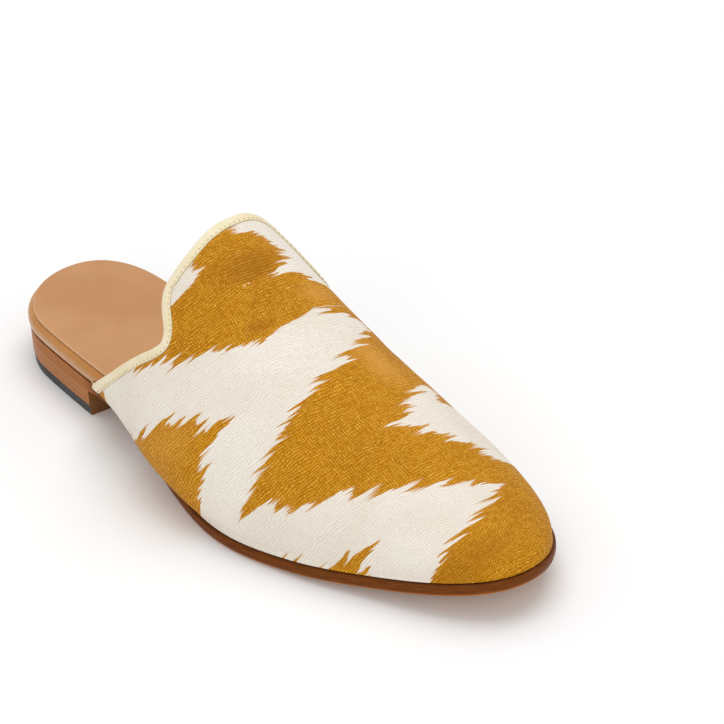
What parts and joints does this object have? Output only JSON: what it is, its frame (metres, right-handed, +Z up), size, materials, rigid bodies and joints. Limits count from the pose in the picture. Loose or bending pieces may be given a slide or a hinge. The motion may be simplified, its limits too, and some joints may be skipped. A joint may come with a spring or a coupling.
{
  "type": "mule",
  "caption": "Flat backless mule for the right foot: hollow woven upper with a bound collar, wrapped leather insole, leather outsole and low heel.",
  "frame": {"origin": "on the floor plane, under the centre of the bounding box", "axes": "+Z up, toe towards -Y, heel towards +Y, outer (lateral) side of the right foot towards -X"},
  "size_m": [0.0938, 0.2724, 0.0841],
  "materials": {
    "upper_cloth": "woven cloth with a feathered mustard and cream ikat, soft satin",
    "binding": "folded cream tape, slight satin",
    "insole_leather": "polished honey leather",
    "sock_leather": "smooth natural tan leather",
    "sole_leather": "stained and waxed edge, natural tan underside",
    "stacked_leather": "stacked leather, waxed edge",
    "heel_rubber": "matt black rubber"
  },
  "bodies": {
    "root": {"upper": "upper_cloth", "collar_binding": "binding", "insole": "insole_leather", "sock_lining": "sock_leather", "outsole": "sole_leather", "heel_stack": "stacked_leather", "top_lift": "heel_rubber"}
  },
  "joints": []
}
